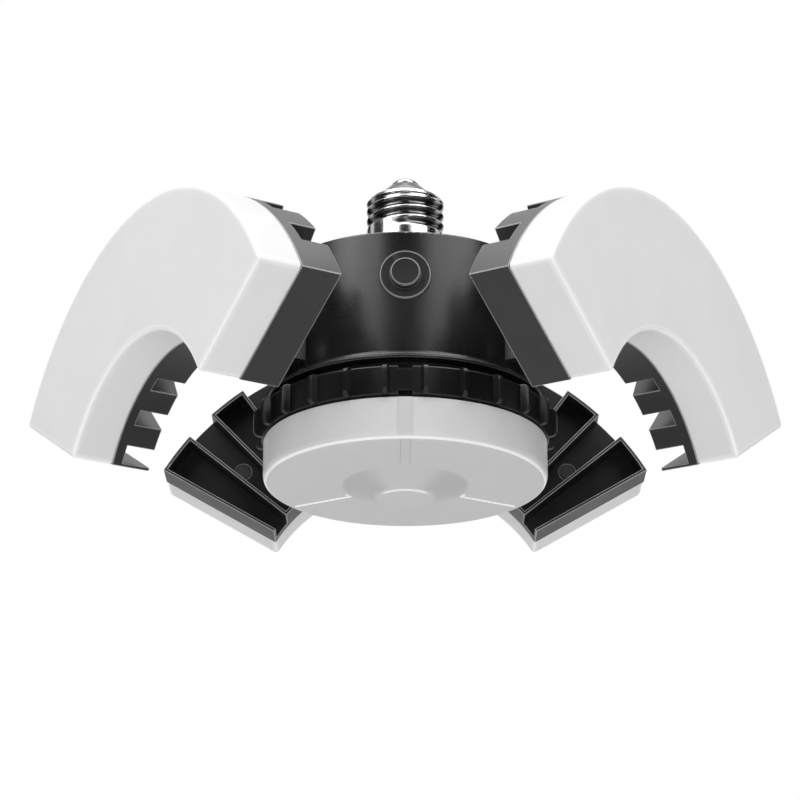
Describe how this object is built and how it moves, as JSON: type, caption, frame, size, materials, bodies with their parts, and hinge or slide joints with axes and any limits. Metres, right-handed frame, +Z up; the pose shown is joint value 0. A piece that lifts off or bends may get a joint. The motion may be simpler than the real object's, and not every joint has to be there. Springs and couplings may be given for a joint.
{
  "type": "deformable garage light",
  "caption": "Ceiling light with a screw base, a round central light and curved light wings that fold on hinges between flat and upright.",
  "frame": {"origin": "on the lamp axis, in the plane where the screw shell's plain skirt starts above the neck, which is where a lampholder carries the lamp", "axes": "+Z up along the lamp axis, out of the screw base; -Y is the front with the button; one wing is centred on +Y and the other two 120 degrees to each side of it"},
  "size_m": [0.2578, 0.2235, 0.1141],
  "materials": {
    "nickel_shell": "bright nickel plate",
    "insulator": "black glass plug",
    "contact_metal": "solder-bright contact",
    "lead_red": "insulated lead",
    "lead_white": "insulated lead",
    "black_plastic": "moulded, fine grain",
    "black_button": "moulded, smooth",
    "steel": "zinc plated",
    "black_housing": "satin black powder coat",
    "black_crown": "semi-gloss black coat",
    "black_heat_sink": "satin black coat",
    "green_board": "solder mask",
    "white_board": "white solder mask on aluminium",
    "led_phosphor": "phosphor lens",
    "copper_winding": "enamelled copper",
    "capacitor_sleeve": "shrink sleeve",
    "connector_plastic": "moulded nylon",
    "frosted_plastic": "frosted translucent white",
    "brass": "rolled sheet"
  },
  "bodies": {
    "root": {"screw_shell": "nickel_shell", "contact_insulator": "insulator", "centre_contact": "contact_metal", "live_lead": "lead_red", "neutral_lead": "lead_white", "top_cover": "black_plastic", "cover_screws": "steel", "housing": "black_housing", "driver_board": "green_board", "board_screws": "steel", "transformer": "copper_winding", "capacitors": "capacitor_sleeve", "rectifier": "black_plastic", "inductor": "copper_winding", "wing_connectors": "connector_plastic", "switch_board": "green_board", "button_switch": "black_plastic", "button_bezel": "black_plastic", "crown": "black_crown", "crown_screws": "steel", "centre_led_board": "white_board", "centre_leds": "led_phosphor", "led_board_screws": "steel", "centre_diffuser": "frosted_plastic", "back_hinge_bolt": "steel", "left_hinge_bolt": "steel", "right_hinge_bolt": "steel", "back_hinge_nut": "steel", "left_hinge_nut": "steel", "right_hinge_nut": "steel"},
    "button": {"button_cap": "black_button"},
    "back_wing": {"back_heat_sink": "black_heat_sink", "back_diffuser": "frosted_plastic", "back_led_board": "white_board", "back_leds": "led_phosphor", "back_wing_screws": "steel", "back_washers": "brass"},
    "left_wing": {"left_heat_sink": "black_heat_sink", "left_diffuser": "frosted_plastic", "left_led_board": "white_board", "left_leds": "led_phosphor", "left_wing_screws": "steel", "left_washers": "brass"},
    "right_wing": {"right_heat_sink": "black_heat_sink", "right_diffuser": "frosted_plastic", "right_led_board": "white_board", "right_leds": "led_phosphor", "right_wing_screws": "steel", "right_washers": "brass"}
  },
  "joints": [
    {"name": "back_wing_tilt", "type": "hinge", "parent": "root", "child": "back_wing", "pos_m": [0, 0.06055, -0.04365], "axis": [-1, 0, 0], "range_deg": [0, 90]},
    {"name": "left_wing_tilt", "type": "hinge", "parent": "root", "child": "left_wing", "pos_m": [-0.05244, -0.03027, -0.04365], "axis": [0.5, -0.866, 0], "range_deg": [0, 90]},
    {"name": "right_wing_tilt", "type": "hinge", "parent": "root", "child": "right_wing", "pos_m": [0.05244, -0.03027, -0.04365], "axis": [0.5, 0.866, 0], "range_deg": [0, 90]},
    {"name": "button_press", "type": "slide", "parent": "root", "child": "button", "axis": [0, 1, 0], "range_m": [0, 0.0012], "stiffness_N_per_m": 1200}
  ]
}
